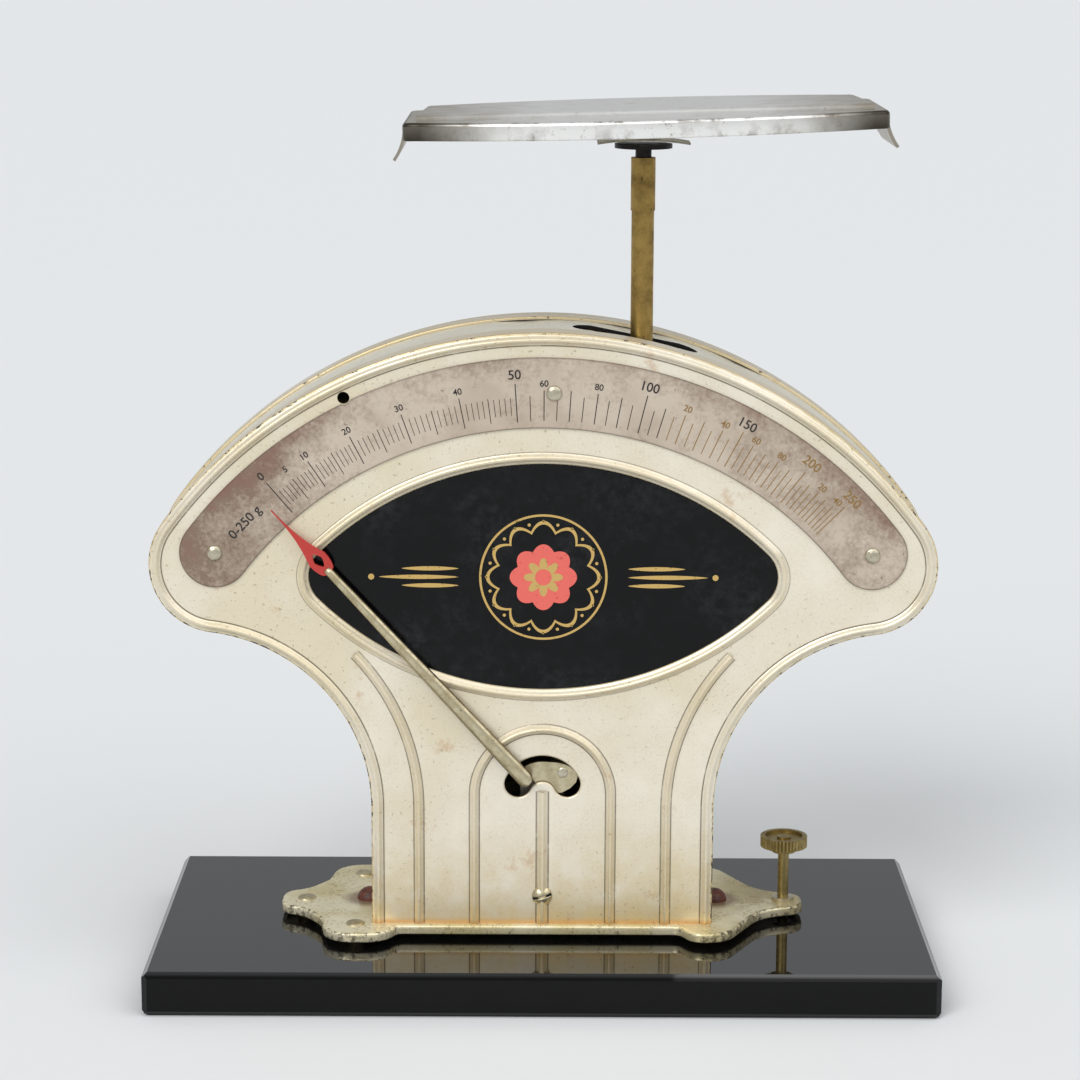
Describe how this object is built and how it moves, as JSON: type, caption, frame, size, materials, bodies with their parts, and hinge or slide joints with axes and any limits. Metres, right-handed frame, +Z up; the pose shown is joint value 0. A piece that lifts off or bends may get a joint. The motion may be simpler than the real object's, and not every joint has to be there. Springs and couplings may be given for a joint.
{
  "type": "pendulum dial balance",
  "caption": "Sheet-metal pendulum balance with an arched dial case, lever-swung pointer, pan on a guided post and levelling screw, on a bevelled black glass base.",
  "frame": {"origin": "centre of the glass slab's underside, on the table", "axes": "+X to the right as one reads the dial, +Y to the back, +Z up"},
  "size_m": [0.21, 0.103, 0.2365],
  "materials": {
    "black_glass": "polished opaque black glass",
    "lacquered_plate": "worn gold lacquer on stamped sheet",
    "champagne_lacquer": "aged champagne lacquer on nickelled sheet",
    "worn_nickel": "worn nickel plating",
    "dial_plate": "matt silvered plate with stains",
    "black_enamel": "gloss black enamel",
    "steel_sheet": "dull plated steel",
    "bright_steel": "turned steel",
    "weight_brass": "unfinished cast brass",
    "aged_brass": "aged unlacquered brass",
    "red_paint": "chipped red paint",
    "blued_steel": "dark blued steel",
    "sealing_wax": "dull red-brown sealing wax"
  },
  "bodies": {
    "stand": {"glass_base": "black_glass", "base_plate": "lacquered_plate", "foot_rivets": "worn_nickel", "front_shell": "champagne_lacquer", "back_shell": "champagne_lacquer", "side_band": "champagne_lacquer", "scale_plate": "dial_plate", "scale_rivets": "worn_nickel", "eye_panel": "black_enamel", "mechanism_frame": "steel_sheet", "case_screws": "worn_nickel", "fixing_seals": "sealing_wax", "levelling_bush": "worn_nickel", "link_stud": "bright_steel"},
    "knob": {"levelling_screw": "aged_brass"},
    "beam": {"arbor": "bright_steel", "lever": "steel_sheet", "counterweight": "weight_brass", "weight_rivets": "bright_steel", "pointer_bracket": "steel_sheet", "bracket_rivet": "bright_steel", "pointer_arm": "worn_nickel", "pointer_head": "red_paint", "lever_pin": "bright_steel"},
    "link": {"guide_link": "steel_sheet"},
    "post": {"post_tube": "aged_brass", "post_fork": "aged_brass", "link_pin": "bright_steel"},
    "pan": {"pan_plate": "worn_nickel", "pan_spigot": "aged_brass", "pan_flange": "blued_steel", "pan_spring": "steel_sheet"}
  },
  "joints": [
    {"name": "beam_swing", "type": "hinge", "parent": "stand", "child": "beam", "pos_m": [0, 0, 0.052], "axis": [0, 1, 0], "range_deg": [0, 89]},
    {"name": "post_upright", "type": "hinge", "parent": "beam", "child": "post", "pos_m": [0.02598, 0, 0.067], "axis": [0, 1, 0], "range_deg": [-89, 0]},
    {"name": "link_swing", "type": "hinge", "parent": "stand", "child": "link", "pos_m": [0, 0, 0.107], "axis": [0, 1, 0], "range_deg": [0, 89]},
    {"name": "pan_turn", "type": "hinge", "parent": "post", "child": "pan", "pos_m": [0.02598, 0, 0.221], "axis": [0, 0, 1], "continuous": true},
    {"name": "levelling_turn", "type": "hinge", "parent": "stand", "child": "knob", "pos_m": [0.0668, 0, 0.016], "axis": [0, 0, 1], "continuous": true}
  ],
  "couplings": [
    {"joint": "post_upright", "follows": "beam_swing", "ratio": -1},
    {"joint": "link_swing", "follows": "beam_swing", "ratio": 1}
  ]
}
